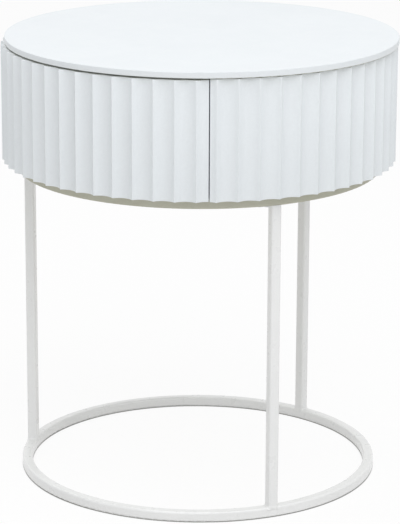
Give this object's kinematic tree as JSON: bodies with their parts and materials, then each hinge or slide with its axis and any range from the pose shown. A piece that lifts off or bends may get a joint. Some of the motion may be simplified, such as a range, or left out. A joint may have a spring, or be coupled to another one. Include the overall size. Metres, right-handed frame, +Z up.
{
  "type": "round side table",
  "caption": "Round side table: fluted drum with a curved-front drawer on ball-bearing runners, under a thin top, on slim square-tube legs that stand on a floor ring.",
  "frame": {"origin": "on the floor, under the axis of the drum", "axes": "+Z up; the drawer pulls out towards -Y; +X is right for someone who faces the drawer"},
  "size_m": [0.4045, 0.4057, 0.4598],
  "materials": {
    "white_lacquer": "satin lacquer on MDF",
    "cream_primer": "matt primer on MDF",
    "white_powder_coat": "fine powder coat",
    "white_board": "white-faced board",
    "raw_mdf": "raw MDF",
    "zinc_plated_steel": "zinc plated",
    "ball_steel": "polished"
  },
  "bodies": {
    "frame": {"base_ring": "white_powder_coat", "leg_front": "white_powder_coat", "leg_right_rear": "white_powder_coat", "leg_left_rear": "white_powder_coat", "leg_plate_front": "white_powder_coat", "leg_plate_right_rear": "white_powder_coat", "leg_plate_left_rear": "white_powder_coat", "frame_bolts": "zinc_plated_steel", "frame_inserts": "zinc_plated_steel", "base_panel": "cream_primer", "base_screws": "zinc_plated_steel", "carcass_side_left": "white_board", "carcass_side_right": "white_board", "carcass_back": "white_board", "carcass_back_screws": "zinc_plated_steel", "sub_top": "raw_mdf", "sub_top_screws": "zinc_plated_steel", "top_panel": "white_lacquer", "rear_shell": "white_lacquer", "runner_outer_left": "zinc_plated_steel", "runner_outer_right": "zinc_plated_steel", "runner_outer_screws": "zinc_plated_steel"},
    "runner_middles": {"runner_middle_left": "zinc_plated_steel", "runner_middle_right": "zinc_plated_steel"},
    "outer_cages": {"runner_outer_cage_left": "zinc_plated_steel", "runner_outer_cage_right": "zinc_plated_steel", "runner_outer_balls": "ball_steel"},
    "inner_cages": {"runner_inner_cage_left": "zinc_plated_steel", "runner_inner_cage_right": "zinc_plated_steel", "runner_inner_balls": "ball_steel"},
    "drawer": {"drawer_front_shell": "white_lacquer", "drawer_side_left": "white_board", "drawer_side_right": "white_board", "drawer_back": "white_board", "drawer_bottom": "white_board", "drawer_corner_block_left": "raw_mdf", "drawer_corner_block_right": "raw_mdf", "drawer_back_screws": "zinc_plated_steel", "drawer_block_front_screws": "zinc_plated_steel", "drawer_block_side_screws": "zinc_plated_steel", "runner_inner_left": "zinc_plated_steel", "runner_inner_right": "zinc_plated_steel", "runner_inner_screws": "zinc_plated_steel"}
  },
  "joints": [
    {"name": "drawer_slide", "type": "slide", "parent": "frame", "child": "drawer", "axis": [0, -1, 0], "range_m": [0, 0.25]},
    {"name": "middle_slide", "type": "slide", "parent": "frame", "child": "runner_middles", "axis": [0, -1, 0], "range_m": [0, 0.125]},
    {"name": "outer_cage_slide", "type": "slide", "parent": "frame", "child": "outer_cages", "axis": [0, -1, 0], "range_m": [0, 0.0625]},
    {"name": "inner_cage_slide", "type": "slide", "parent": "frame", "child": "inner_cages", "axis": [0, -1, 0], "range_m": [0, 0.1875]}
  ],
  "couplings": [
    {"joint": "middle_slide", "follows": "drawer_slide", "ratio": 0.5},
    {"joint": "outer_cage_slide", "follows": "drawer_slide", "ratio": 0.25},
    {"joint": "inner_cage_slide", "follows": "drawer_slide", "ratio": 0.75}
  ]
}
